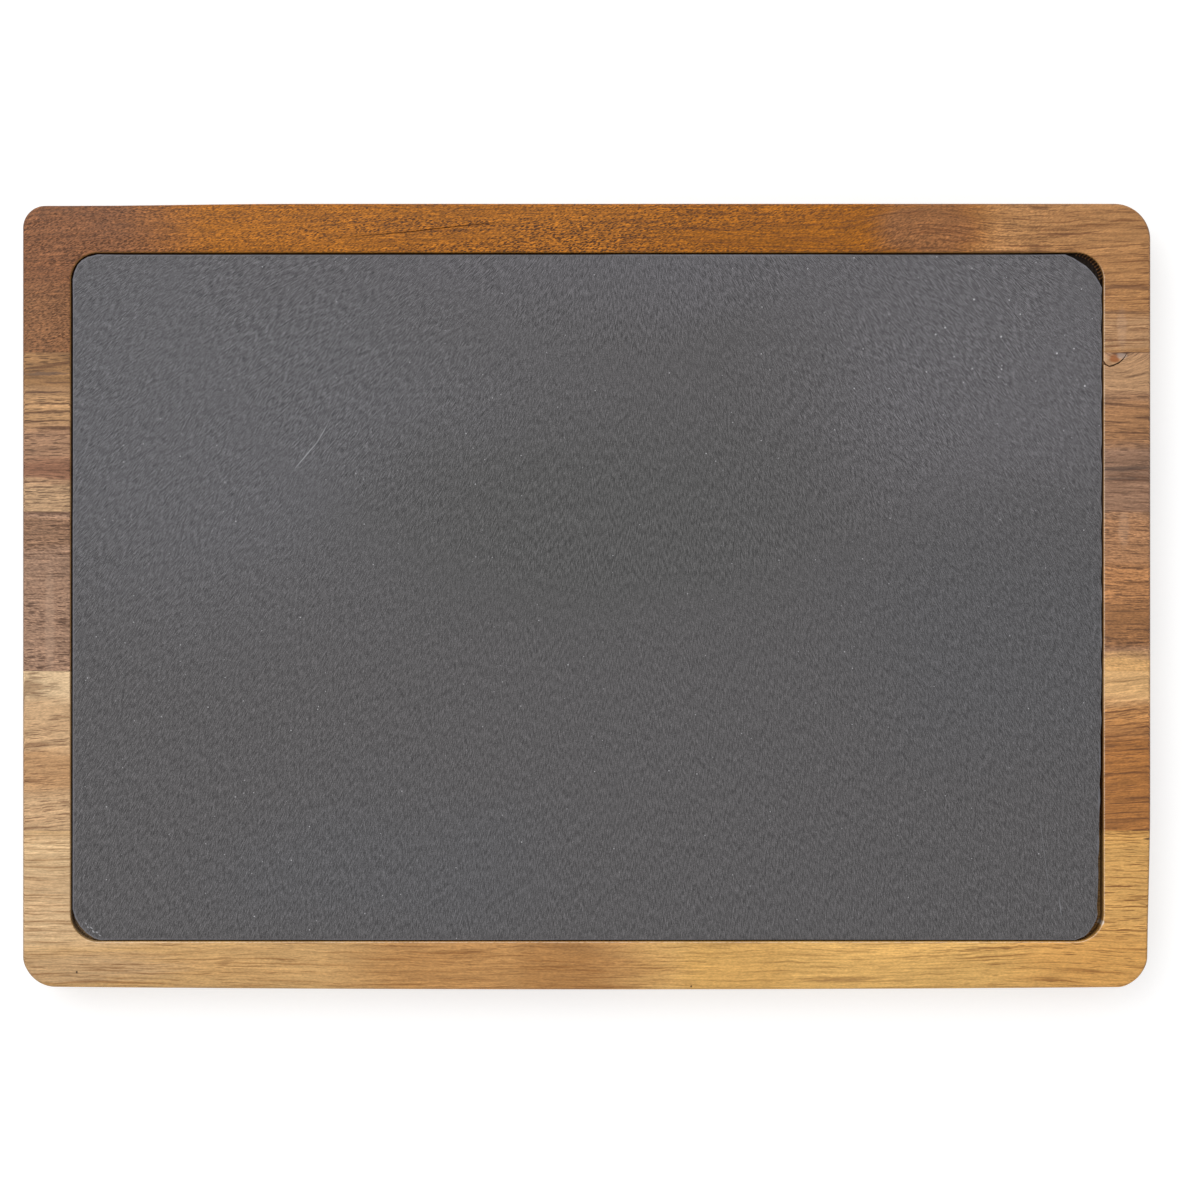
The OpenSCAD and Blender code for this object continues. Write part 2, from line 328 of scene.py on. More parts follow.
# Every stave has its own tree behind it, and its places are in mm from the board's middle.
# patches: x, y, half length, half width, colour; they fade out past their edges.
# streaks: x, y, half length, half width, tilt in degrees, colour, strength; their edges are crisper.
# lines: colour, and strength at the left end, in the middle and at the right end.
# lineSize: mm along and across. bands: how much thick and thin rings differ.
# fine, fibre and mottle: swing in the same three places.
# pores: colour and strengths as for lines, then the mm from one to the next along and across the
# grain, the largest one's share of that gap, and the degrees that they are turned from the grain.
# knots: x, y, half length, half width, and how far the grain is pushed to the front round them.
# calm: x, y, half length, half width, and what is left of lines and pores there.
# slant and tilt: degrees that the mottle and the grain are turned. pith: its y and z.
staves = {
    "back_stave": {
        "slot": "acacia_red_brown",
        "colour": "#a8661a",
        "patches": [
            (-172, 104, 52, 40, "#88593a"), (-165, 78, 34, 14, "#8c603f"),
            (150, 96, 44, 44, "#b38151"), (158, 77.5, 34, 5.5, "#c0946a"),
            (64, 108, 46, 30, "#a05f0f"), (100, 108, 15, 10, "#956239"),
        ],
        "streaks": [
            # the faint pale upright streak at x 156.5 is painted sheen
            (156.5, 78.6, 6.5, 1.6, 90, "#d2ad90", 0.2), (140, 106, 12, 0.35, 1, "#6b4128", 0.7),
            (128, 102.5, 9, 0.3, -1, "#6b4128", 0.7), (158, 90.5, 9, 0.7, -2, "#6d4a34", 0.5),
            (157, 83, 9, 0.4, -1, "#5d3d2a", 0.6),
        ],
        "knots": [(97.5, 109, 24, 14, -2.5)],
        "calm": [],
        "lines": ("#6a3b1e", 0.15, 0.25, 0.6), "lineSize": (28, 0.95), "bands": 0.4,
        "fine": (0.35, 0.35, 0.4),
        "pores": [("#43240f", 0.7, 1.0, 0.1, 1.2, 0.36, 0.54, 14),
                  ("#5a3822", 0.1, 0.3, 0.7, 8, 0.36, 0.42, 0)],
        "fibre": (0.6, 0.8, 0.3), "mottle": (1.2, 1.45, 0.3), "slant": 16,
        "pith": (150, -30), "wave": 0.8, "tilt": 1.5, "seed": 3,
    },
    "back_mid_stave": {
        "slot": "acacia_streaked",
        "colour": "#a98061",
        "patches": [
            (-165, 66, 40, 7, "#a0774f"), (-165, 55, 40, 6, "#b98f65"),
            (-165, 44, 40, 5, "#a57e61"), (-165, 37, 40, 3, "#93684f"),
            (-165, 29, 40, 5, "#bf9b76"), (156, 65, 22, 6.5, "#b68d67"),
            (158, 50, 40, 8, "#aa7b53"), (158, 38.5, 40, 6, "#927059"),
            (158, 29, 40, 5, "#a07a60"),
        ],
        "streaks": [
            (-158, 65.2, 9, 0.5, 1, "#5b4a44", 0.6), (-155, 62.6, 5, 0.4, 0, "#5d4032", 0.6),
            (-158, 59.8, 8, 0.35, -2, "#5d4032", 0.6), (158, 37.5, 9, 0.8, 2, "#4e4039", 0.55),
            (156, 34.5, 7, 0.5, 0, "#4e4039", 0.5), (156.4, 70.3, 1.9, 1.0, 4, "#b6a296", 0.6),
            (154.3, 69.6, 1.6, 1.3, -25, "#9a5a2e", 0.85),
            (151.7, 69.2, 0.7, 0.8, 0, "#c9a27c", 0.7),
        ],
        "knots": [(154.5, 70.5, 14, 13, 6)],
        "calm": [(158, 66, 12, 4, 0.6)],
        "lines": ("#5c3b2a", 0.6, 0.7, 0.65), "lineSize": (22, 1.0), "bands": 0.4, "fine": (0.55, 0.45, 0.5),
        "pores": [("#3f2a1f", 0.75, 0.7, 0.55, 4.4, 0.36, 0.44, 0)],
        "fibre": (0.5, 0.5, 0.45), "mottle": (0.4, 0.4, 0.4), "slant": 8,
        "pith": (90, -40), "wave": 0.8, "tilt": 0, "seed": 11,
    },
    "middle_stave": {
        "slot": "acacia_grey_brown",
        "colour": "#a57c5d",
        "patches": [
            (-165, 2, 60, 40, "#a5826a"), (-165, 19, 50, 5, "#98745a"),
            (158, 16, 60, 8, "#b2815a"), (158, 3, 40, 7, "#bb8354"),
            (158, -8, 40, 7, "#a06f46"), (158, -21.5, 40, 4.5, "#d2a36a"),
        ],
        "streaks": [
            # the faint pale upright streaks at x -157 and 157 are painted sheen
            (-158, 24.4, 9, 0.5, 0, "#66493a", 0.6), (-157, -8, 19, 1.6, 90, "#cfae94", 0.2),
            (157, 20, 6, 1.8, 90, "#d2ad90", 0.2), (160, 4.1, 4.5, 0.3, 0, "#6b4428", 0.7),
        ],
        "knots": [],
        "calm": [(158, -21, 40, 5, 0.15)],
        "lines": ("#5a3c2b", 0.5, 0.5, 0.6), "lineSize": (14, 0.95), "bands": 0.4, "fine": (0.55, 0.45, 0.4),
        "pores": [("#452d20", 0.8, 0.7, 0.6, 3.0, 0.36, 0.48, 0)],
        "fibre": (0.55, 0.6, 0.45), "mottle": (0.8, 0.6, 0.6), "slant": -8,
        "pith": (-50, -45), "wave": 1.2, "tilt": 0, "seed": 23,
    },
    "front_mid_stave": {
        "slot": "acacia_golden",
        "colour": "#bd9167",
        "patches": [
            (-165, -45, 90, 50, "#cca77e"), (-165, -25, 60, 6, "#dfbf96"),
            (-165, -51, 50, 6, "#c2966a"), (158, -25, 50, 6, "#dcae76"),
            (158, -35, 50, 4, "#cb935b"), (158, -56, 60, 20, "#ab713b"),
        ],
        "streaks": [],
        "knots": [],
        "calm": [(158, -22.5, 40, 2.2, 0.1), (158, -27, 40, 5, 0.55)],
        "lines": ("#74492a", 0.45, 0.5, 0.9), "lineSize": (30, 0.95), "bands": 0.3, "fine": (0.45, 0.35, 0.7),
        "pores": [("#6b452c", 0.7, 0.6, 0.75, 6, 0.34, 0.45, 0)],
        "fibre": (0.45, 0.5, 0.4), "mottle": (0.4, 0.3, 0.4), "slant": 5,
        "pith": (-10, -60), "wave": 0.8, "tilt": 5, "seed": 31,
    },
    "front_stave": {
        "slot": "acacia_honey",
        "colour": "#d6a868",
        "patches": [
            (-165, -85, 60, 20, "#d4b186"), (-165, -76, 50, 5, "#ddba8d"),
            (-165, -99, 50, 5, "#dfbc8f"), (-100, -110, 70, 12, "#cda26a"),
            (-158, -108.5, 42, 4.5, "#c39e72"), (-25, -108, 45, 22, "#be8c54"),
            (-8, -108, 13, 12, "#b2804a"), (86, -105, 62, 40, "#e1b167"),
            (44, -108, 16, 20, "#d6a65e"), (162, -95, 40, 40, "#dca45a"),
            (162, -84, 40, 16, "#dca962"),
        ],
        "streaks": [
            (73, -112.2, 13, 0.5, 1.5, "#7d5530", 0.55),
            (30.5, -113.9, 0.4, 0.35, 0, "#3c2a1c", 0.9),
            (-149, -109.8, 0.4, 0.35, 0, "#3c2a1c", 0.9), (164, -70.9, 1.6, 0.3, 0, "#3a2418", 0.8),
            (156, -84.7, 6, 0.35, 0, "#7a4c24", 0.8), (150.8, -95.4, 0.8, 0.45, 60, "#efe3d8", 0.8),
        ],
        "knots": [],
        "calm": [(68, -105, 40, 30, 0.45)],
        "lines": ("#8f5b28", 0.45, 0.5, 0.7), "lineSize": (32, 0.95), "bands": 0.25, "fine": (0.4, 0.3, 0.4),
        "pores": [("#74471f", 0.5, 0.4, 0.85, 8, 0.36, 0.43, 0)],
        "fibre": (0.4, 0.35, 0.35), "mottle": (0.3, 0.35, 0.3), "slant": 0,
        "pith": (-150, -25), "wave": 1.0, "tilt": 0, "seed": 43,
    },
}


def grainPlace(tree, inMm, stave):
    # places in the tree's own grain, in mm, with its bends, ripples and knots taken out
    place = inMm
    for x, y, halfLength, halfWidth, push in stave["knots"]:
        away = spot(tree, place, x, y, halfLength, halfWidth)
        shift = addNode(tree, "MapRange", {0: away, 1: 1.0, 2: 0.0, 3: 0.0, 4: push},
                        interpolation_type="SMOOTHSTEP")
        place = addNode(tree, "VectorMath", {0: (0, 1, 0), 1: shift, 2: place}, operation="MULTIPLY_ADD")
    along, across = [step * stave["seed"] for step in acacia["seedStep"]]
    seeded = addNode(tree, "VectorMath", {0: place, 1: (along, across, 0)}, operation="ADD")
    for sizes, swing in (acacia["bend"], acacia["ripple"]):
        swing = [way * stave["wave"] for way in swing]
        place = wandered(tree, place, sizes, swing, detail=1.0, noisePlace=seeded)
    return addNode(tree, "Mapping", {"Vector": place, "Rotation": (0, 0, radians(-stave["tilt"]))})


def ringPlace(tree, grain, stave):
    # along the grain, out from the pith, and round it, so that end grain shows growth rings
    pithY, pithZ = stave["pith"]
    seedX = acacia["seedStep"][0] * stave["seed"]
    fromPith = addNode(tree, "VectorMath", {0: grain, 1: (seedX, -pithY, -pithZ)}, operation="ADD")
    parts = addNode(tree, "SeparateXYZ", {0: fromPith}).node.outputs
    flat = addNode(tree, "VectorMath", {0: fromPith, 1: (0, 1, 1)}, operation="MULTIPLY")
    radius = addNode(tree, "VectorMath", {0: flat}, out="Value", operation="LENGTH")
    turn = addNode(tree, "Math", {0: parts["Y"], 1: parts["Z"]}, operation="ARCTAN2")
    arc = addNode(tree, "Math", {0: turn, 1: acacia["ringArc"]}, operation="MULTIPLY")
    return addNode(tree, "CombineXYZ", {0: parts["X"], 1: radius, 2: arc})


def alongBoard(tree, inMm, left, middle, right):
    # a value that changes evenly from the left end to the middle, and on to the right end
    x = addNode(tree, "SeparateXYZ", {0: inMm})
    first = addNode(tree, "MapRange", {0: x, 1: boardLow.x / mm, 2: 0.0, 3: left, 4: middle})
    rest = addNode(tree, "MapRange", {0: x, 1: 0.0, 2: boardHigh.x / mm, 3: 0.0, 4: right - middle})
    return addNode(tree, "Math", {0: first, 1: rest}, operation="ADD")


def calming(tree, place, stave):
    # 1 where the wood is as lined as the rest of its stave, and less where it is pale and smooth
    calm = 1.0
    start, end = acacia["calmEdge"]
    for x, y, halfLength, halfWidth, left in stave["calm"]:
        away = spot(tree, place, x, y, halfLength, halfWidth)
        here = addNode(tree, "MapRange", {0: away, 1: start, 2: end, 3: left, 4: 1.0},
                       interpolation_type="SMOOTHSTEP")
        calm = addNode(tree, "Math", {0: here, 1: calm}, operation="MULTIPLY")
    return calm


def wallDistance(tree, inMm):
    # mm from the recess's rounded wall, more than 0 outside it, and the angle round its corner in degrees
    middle = (recessLow + recessHigh) / 2 / mm
    radius = board["recessRadius"] / mm
    straight = (recessHigh - recessLow) / 2 / mm - Vector((radius, radius))
    fromMiddle = addNode(tree, "VectorMath", {0: inMm, 1: (middle.x, middle.y, 0)}, operation="SUBTRACT")
    mirrored = addNode(tree, "VectorMath", {0: fromMiddle}, operation="ABSOLUTE")
    beyond = addNode(tree, "VectorMath", {0: mirrored, 1: (1, 1, 0), 2: (-straight.x, -straight.y, 0)},
                     operation="MULTIPLY_ADD")
    parts = addNode(tree, "SeparateXYZ", {0: beyond}).node.outputs
    clipped = addNode(tree, "VectorMath", {0: beyond, 1: (0, 0, 0)}, operation="MAXIMUM")
    outside = addNode(tree, "VectorMath", {0: clipped}, out="Value", operation="LENGTH")
    larger = addNode(tree, "Math", {0: parts["X"], 1: parts["Y"]}, operation="MAXIMUM")
    inside = addNode(tree, "Math", {0: larger, 1: 0.0}, operation="MINIMUM")
    both = addNode(tree, "Math", {0: outside, 1: inside}, operation="ADD")
    distance = addNode(tree, "Math", {0: both, 1: radius}, operation="SUBTRACT")
    clippedParts = addNode(tree, "SeparateXYZ", {0: clipped}).node.outputs
    turn = addNode(tree, "Math", {0: clippedParts["Y"], 1: clippedParts["X"]}, operation="ARCTAN2")
    return distance, addNode(tree, "Math", {0: turn}, operation="DEGREES")


def recessShadeWalls(tree, colour, inMm, distance, angle):
    # painted shade in the recess: faint on the walls and the floor's edge, nearly black round the ribs in the
    # back right corner
    z = addNode(tree, "SeparateXYZ", {0: inMm}).node.outputs["Z"]
    start, full = acacia["recessShadeReach"]
    near = addNode(tree, "MapRange", {0: distance, 1: -start, 2: -full}, interpolation_type="SMOOTHSTEP")
    high, low = [boardHigh.z / mm - depth for depth in acacia["recessShadeDepth"]]
    deep = addNode(tree, "MapRange", {0: z, 1: high, 2: low}, interpolation_type="SMOOTHSTEP")
    both = addNode(tree, "Math", {0: near, 1: deep}, operation="MULTIPLY")
    recessShadeColour, recessShadeStrength = acacia["recessShade"]
    away = spot(tree, inMm, *acacia["recessShadePlace"])
    start, full = acacia["recessShadeFade"]
    strength = addNode(tree, "MapRange", {0: away, 1: start, 2: full, 3: acacia["recessShadeElsewhere"],
                                          4: recessShadeStrength})
    # painted shade, deeper below the rim and near the wall of the recess
    colour = stain(tree, colour, both, recessShadeColour, strength)
    # the ribs keep lighter stripes through the painted shade
    ribTurn = 90 / board["arcSteps"]
    swing = addNode(tree, "Math", {0: angle, 1: ribTurn}, operation="PINGPONG")
    inCorner = addNode(tree, "Math", {0: angle, 1: 45.0, 2: 45.0 - ribTurn / 2}, operation="COMPARE")
    onWall = addNode(tree, "Math", {0: distance, 1: 0.0, 2: 2 * board["ribDepth"] / mm}, operation="COMPARE")
    here = addNode(tree, "Math", {0: inCorner, 1: onWall}, operation="MULTIPLY")
    ribColour, ribStrength = acacia["rib"]
    start, full = acacia["ribFade"]
    share = addNode(tree, "MapRange", {0: away, 1: start, 2: full, 3: 0.0, 4: ribStrength})
    strength = addNode(tree, "Math", {0: here, 1: share}, operation="MULTIPLY")
    return stain(tree, colour, swing, ribColour, strength, [part * ribTurn for part in acacia["ribEdge"]])


def growthLines(tree, colour, inMm, rings, band, calm, stave):
    # growth lines, thick in some rings and scarce in others, with thin dark ones between
    colour = shaded(tree, colour, band, stave["bands"])
    length, spacing = stave["lineSize"]
    broad = grained(tree, rings, (length, spacing, 1), *acacia["broadLineNoise"])
    crowded = addNode(tree, "Math", {0: band, 1: acacia["broadLineCrowd"], 2: broad},
                      operation="MULTIPLY_ADD")
    lineColour, *strengths = stave["lines"]
    strength = addNode(tree, "Math", {0: alongBoard(tree, inMm, *strengths), 1: calm}, operation="MULTIPLY")
    broadStrength = addNode(tree, "Math", {0: strength, 1: acacia["broadLine"]}, operation="MULTIPLY")
    colour = stain(tree, colour, crowded, lineColour, broadStrength, acacia["broadLineEdge"])
    fineLength, fineSpacing = acacia["fineLine"]
    fine = grained(tree, rings, (length * fineLength, spacing * fineSpacing, 1), detail=1.0)
    colour = shaded(tree, colour, fine, alongBoard(tree, inMm, *stave["fine"]))
    return stain(tree, colour, fine, lineColour, strength, acacia["fineLineEdge"])


def pores(tree, colour, inMm, grain, band, calm, stave):
    # dark dashes along the grain, each of its own size; also gives back how hollow the last kind is
    (scarce, crowded), (few, many) = acacia["poreRings"], acacia["poreShares"]
    share = addNode(tree, "MapRange", {0: band, 1: scarce, 2: crowded, 3: few, 4: many})
    for poreColour, *strengths, along, across, size, slant in stave["pores"]:
        turned = addNode(tree, "Mapping", {"Vector": grain, "Rotation": (0, 0, radians(-slant))})
        scaled = addNode(tree, "Mapping", {"Vector": turned, "Scale": (1 / along, 1 / across, 1 / across)})
        cells = addNode(tree, "TexVoronoi", {"Vector": scaled, "Scale": 1.0}).node.outputs
        chance = addNode(tree, "SeparateXYZ", {0: cells["Color"]})
        reach = addNode(tree, "Math", {0: chance, 1: acacia["poreSpread"], 2: share},
                        operation="MULTIPLY_ADD")
        sized = addNode(tree, "Math", {0: reach, 1: size}, operation="MULTIPLY")
        inside = addNode(tree, "Math", {0: sized, 1: cells["Distance"]}, operation="SUBTRACT")
        strength = addNode(tree, "Math", {0: alongBoard(tree, inMm, *strengths), 1: calm},
                           operation="MULTIPLY")
        colour = stain(tree, colour, inside, poreColour, strength, acacia["poreEdge"])
    hollow = addNode(tree, "MapRange", {0: inside, 1: 0.0, 2: acacia["poreSlope"], 3: 0.0, 4: strength})
    return colour, hollow


def glueLines(tree, colour, inMm, calm, seams):
    alongY = addNode(tree, "SeparateXYZ", {0: inMm}).node.outputs["Y"]
    glueColour, glueStrength = acacia["glueLine"]
    runs = grained(tree, inMm, acacia["glueLineRuns"])
    strength = addNode(tree, "Math", {0: calm, 1: glueStrength}, operation="MULTIPLY")
    for seam in seams:
        beside = addNode(tree, "Math", {0: alongY, 1: seam / mm, 2: acacia["glueLineWidth"]},
                         operation="COMPARE")
        shown = addNode(tree, "Math", {0: beside, 1: runs}, operation="MULTIPLY")
        colour = stain(tree, colour, shown, glueColour, strength, acacia["glueLineEdge"])
    return colour


def recessArris(tree, colour, inMm, normal, distance, mottle):
    # the painted highlight on the arris round the recess, broken up in places, and painted light, yellow, on
    # the top of the wall
    highlightColour, highlightStrength = acacia["arrisHighlight"]
    facing = addNode(tree, "VectorMath", {0: normal, 1: acacia["arrisHighlightSide"]}, out="Value",
                     operation="DOT_PRODUCT")
    start, full = acacia["arrisHighlightLit"]
    lit = addNode(tree, "MapRange", {0: facing, 1: start, 2: full, 3: 0.0, 4: highlightStrength})
    (start, full), left = acacia["arrisHighlightBreaks"]
    highlightLeft = addNode(tree, "MapRange", {0: mottle, 1: start, 2: full, 3: left, 4: 1.0})
    strength = addNode(tree, "Math", {0: lit, 1: highlightLeft}, operation="MULTIPLY")
    outer, inner = acacia["arrisHighlightFrom"]
    onArris = addNode(tree, "Math", {0: distance, 1: (outer + inner) / 2, 2: (outer - inner) / 2},
                      operation="COMPARE")
    colour = stain(tree, colour, onArris, highlightColour, strength)
    # painted light: the top of the recess wall is lit yellow
    litTopColour, litTopStrength = acacia["litWallTop"]
    z = addNode(tree, "SeparateXYZ", {0: inMm}).node.outputs["Z"]
    nearRim = addNode(tree, "Math", {0: z, 1: boardHigh.z / mm - acacia["litWallTopDepth"]},
                      operation="GREATER_THAN")
    strength = addNode(tree, "Math", {0: nearRim, 1: litTopStrength}, operation="MULTIPLY")
    return stain(tree, colour, distance, litTopColour, strength, (acacia["litWallTopReach"], 0.0))


def woodMaterial(name, stave, seams, routed=False):
    material, tree, shader = newMaterial(name)
    inMm, normal = placeInMm(tree)
    grain = grainPlace(tree, inMm, stave)
    rings = ringPlace(tree, grain, stave)
    distance, angle = wallDistance(tree, inMm)

    drifting = wandered(tree, inMm, *acacia["drift"], noisePlace=grain)
    calm = calming(tree, drifting, stave)
    colour = linearColour(stave["colour"])
    for *place, patchColour in stave["patches"]:
        colour = stain(tree, colour, spot(tree, drifting, *place), patchColour, 1.0, acacia["patchEdge"])

    band = grained(tree, rings, acacia["ring"])
    colour = growthLines(tree, colour, inMm, rings, band, calm, stave)

    # fibre shimmer and mottle, lighter and darker
    fibre = grained(tree, grain, acacia["fibre"])
    slanted = addNode(tree, "Mapping", {"Vector": grain, "Rotation": (0, 0, radians(-stave["slant"]))})
    mottle = grained(tree, slanted, acacia["mottle"], detail=1.0)
    colour = shaded(tree, colour, fibre, alongBoard(tree, inMm, *stave["fibre"]))
    colour = shaded(tree, colour, mottle, alongBoard(tree, inMm, *stave["mottle"]))
    colour, hollow = pores(tree, colour, inMm, grain, band, calm, stave)

    # marks that the photo shows in their own places, with slightly uneven edges
    nearly = wandered(tree, inMm, *acacia["uneven"])
    # the faint pale upright streaks near the ends are painted sheen
    for *place, streakColour, strength in stave["streaks"]:
        colour = stain(tree, colour, spot(tree, nearly, *place), streakColour, strength, acacia["streakEdge"])
    colour = glueLines(tree, colour, inMm, calm, seams)

    facing = addNode(tree, "SeparateXYZ", {0: normal})
    endOn = addNode(tree, "Math", {0: facing}, operation="ABSOLUTE")
    colour = stain(tree, colour, endOn, *acacia["endGrain"])

    height = addNode(tree, "Math", {0: fibre, 1: hollow}, operation="SUBTRACT")
    if routed:
        colour = stain(tree, colour, fibre, *acacia["routed"])
        # painted shade in the recess
        colour = recessShadeWalls(tree, colour, inMm, distance, angle)
        marks = addNode(tree, "TexWave", {"Vector": inMm, "Scale": waveScale / acacia["toolPitch"],
                                          "Distortion": acacia["toolWander"], "Detail": 1.0}, out="Fac")
        height = addNode(tree, "Math", {0: height, 1: marks}, operation="ADD")
    else:
        # painted highlight on the recess's arris, and painted light on the top of its wall
        colour = recessArris(tree, colour, inMm, normal, distance, mottle)

    tree.links.new(colour, shader.inputs["Base Color"])
    finishSurface(tree, shader, fibre, height, acacia)
    return material


# board

board = {
    "radii": (10.5 * mm, 6.5 * mm, 9.5 * mm, 9.5 * mm),   # back right, back left, front left, front right
    "recessRadius": 8 * mm,
    "gapLow": (0.5 * mm, 0.3 * mm),      # between slate and recess, at the left and front
    "gapHigh": (0.3 * mm, 0.5 * mm),     # at the right and back
    "topEase": 1.0 * mm,        # how wide the edges are eased, at the rim's outer side,
    "footEase": 1.6 * mm,       # at the foot,
    "rimEase": 0.5 * mm,        # and round the recess
    "easeShare": 1.15,          # over 1 leaves a slight edge at both ends of the rounding
    "easeSteps": 5,
    "arcSteps": 26,
    "ribDepth": 0.14 * mm,      # chatter that the router left in the recess's back right corner
    "bowSteps": 24,
    "bowFrom": (11 * mm, 4 * mm),                          # from the sides, where a bow starts and is full
    "frontBow": (0.65 * mm, 5 * mm, 150 * mm),             # how far in, its middle, and how far from there
    "backLeftBow": (0.6 * mm, 85 * mm, 150 * mm),          # how far in, and where it starts and is full
    "rightFrontBow": (0.9 * mm, 60 * mm, 112 * mm),
    "sharpAngle": 38,
    "pushHole": 12.5 * mm,      # radius
    "pushHoleEase": 1.6 * mm,
    "holeSteps": 96,
    "overrun": 3 * mm,          # how far its cutter passes both faces
    "crackOverrun": 0.2 * mm,
    "seamReach": 0.0001 * mm,   # what still counts as lying on a seam
}
recessLow = Vector([slateLow[i] - board["gapLow"][i] for i in range(2)])
recessHigh = Vector([slateHigh[i] + board["gapHigh"][i] for i in range(2)])

# Cracks run down into the wood: places and half widths in mm along each, and its depth.
cracks = {
    "back_mid_stave": [
        {"path": [(150.6, 68.9, 0.5), (151.4, 68.3, 0.55), (151.9, 67.8, 0.22), (152.9, 67.3, 0.22),
                  (154.2, 67.7, 0.24), (155.7, 68.4, 0.24), (156.8, 69.4, 0.22), (157.4, 70.2, 0.2),
                  (157.9, 71.1, 0.1)],
         "depth": 1.8},
    ],
    "back_stave": [
        {"path": [(-73.6, 104.8, 0.03), (-62, 105.8, 0.07), (-51.6, 106.7, 0.13), (-45.8, 107.4, 0.15),
                  (-38.5, 108.2, 0.13), (-31.2, 108.9, 0.09), (-26.8, 109.2, 0.03)],
         "depth": 0.7},
    ],
}


def roundedFace(bm, low, high, radii, z):
    # a flat face: a rectangle whose corners are rounded, the back right one first and the back left one next
    corners = [bm.verts.new((x, y, z)) for x, y in
               ((high[0], high[1]), (low[0], high[1]), (low[0], low[1]), (high[0], low[1]))]
    bm.faces.new(corners)
    for corner, radius in zip(corners, radii):
        rounded = bmesh.ops.bevel(bm, geom=[corner], offset=radius, offset_type="OFFSET", affect="VERTICES",
                                  segments=board["arcSteps"], profile=0.5, material=-1)
    return rounded["verts"][0].link_faces[0]


def easedSteps(width):
    # ways in and up, from point to point of an eased edge, from the side to the top
    centre = width * board["easeShare"]
    radius = hypot(centre, centre - width)
    start = atan2(centre - width, centre)
    turns = [start + (pi / 2 - 2 * start) * i / board["easeSteps"] for i in range(board["easeSteps"] + 1)]
    points = [(centre - radius * cos(turn), radius * sin(turn)) for turn in turns]
    return [(after[0] - before[0], after[1] - before[1]) for before, after in zip(points, points[1:])]


def insetFace(bm, face, inwards, upwards):
    bmesh.ops.inset_region(bm, faces=[face], thickness=inwards, depth=upwards, use_boundary=True,
                           use_even_offset=True)


def extrudeFace(bm, face, way):
    # pulls a face along Z, and gives back the face at the far end
    pulled = bmesh.ops.extrude_face_region(bm, geom=[face])["geom"]
    bmesh.ops.translate(bm, verts=[g for g in pulled if isinstance(g, bmesh.types.BMVert)], vec=(0, 0, way))
    return [g for g in pulled if isinstance(g, bmesh.types.BMFace)][0]


def ribCorner(bm):
    # the router chattered in the back right corner, and left upright ribs there
    radius = board["recessRadius"]
    for vertex in bm.verts:
        out = [vertex.co[i] - recessHigh[i] + radius for i in range(2)]
        onWall = abs(hypot(*out) - radius) < tiny and min(out) > tiny
        if onWall and vertex.co.z < boardHigh.z - board["rimEase"] + tiny:
            step = round(degrees(atan2(out[1], out[0])) / 90 * board["arcSteps"])
            if step % 2:
                vertex.co.x += out[0] / radius * board["ribDepth"]
                vertex.co.y += out[1] / radius * board["ribDepth"]


def eased(value, start, end):
    # from 0 at start to 1 at end, without corners
    share = min(max((value - start) / (end - start), 0), 1)
    return share * share * (3 - 2 * share)


def bowSides(bm):
    # sanding drew the sides in by up to a millimetre, mostly towards the ends of the front
    for axis in (0, 1):
        normal = Vector((1 - axis, axis, 0))
        for i in range(1, board["bowSteps"]):
            place = boardLow[axis] + (boardHigh[axis] - boardLow[axis]) * i / board["bowSteps"]
            sliceAt(bm, normal * place, normal, dist=weld)
    front, frontMiddle, frontReach = board["frontBow"]
    back, backStart, backEnd = board["backLeftBow"]
    right, rightStart, rightEnd = board["rightFrontBow"]
    start, full = board["bowFrom"]
    for vertex in bm.verts:
        x, y = vertex.co.x, vertex.co.y
        share = eased(-y, -boardLow.y - start, -boardLow.y - full)
        vertex.co.y += share * front * ((x - frontMiddle) / frontReach) ** 2
        share = eased(y, boardHigh.y - start, boardHigh.y - full)
        vertex.co.y -= share * back * eased(-x, backStart, backEnd)
        share = eased(x, boardHigh.x - start, boardHigh.x - full)
        vertex.co.x -= share * right * eased(-y, rightStart, rightEnd)


def makeBlank():
    # the whole board as one closed shape, before it is cut into its staves
    bm = bmesh.new()
    foot = roundedFace(bm, boardLow, boardHigh, board["radii"], boardLow.z + board["footEase"])
    top = extrudeFace(bm, foot, boardHigh.z - boardLow.z - board["footEase"] - board["topEase"])
    bmesh.ops.recalc_face_normals(bm, faces=bm.faces[:])
    for inwards, upwards in easedSteps(board["footEase"]):
        insetFace(bm, foot, inwards, upwards)
    for inwards, upwards in easedSteps(board["topEase"]):
        insetFace(bm, top, inwards, upwards)
    rim = top.edges[:]
    bmesh.ops.delete(bm, geom=[top], context="FACES_ONLY")
    ease = Vector((board["rimEase"], board["rimEase"]))
    radius = board["recessRadius"] + board["rimEase"]
    pocket = roundedFace(bm, recessLow - ease, recessHigh + ease, [radius] * 4, boardHigh.z)
    bmesh.ops.bridge_loops(bm, edges=rim + pocket.edges[:])
    for inwards, upwards in reversed(easedSteps(board["rimEase"])):
        insetFace(bm, pocket, inwards, -upwards)
    extrudeFace(bm, pocket, slateLow.z - boardHigh.z + board["rimEase"])
    bmesh.ops.delete(bm, geom=[pocket], context="FACES_ONLY")
    ribCorner(bm)
    bowSides(bm)
    bmesh.ops.recalc_face_normals(bm, faces=bm.faces[:])
    return bm


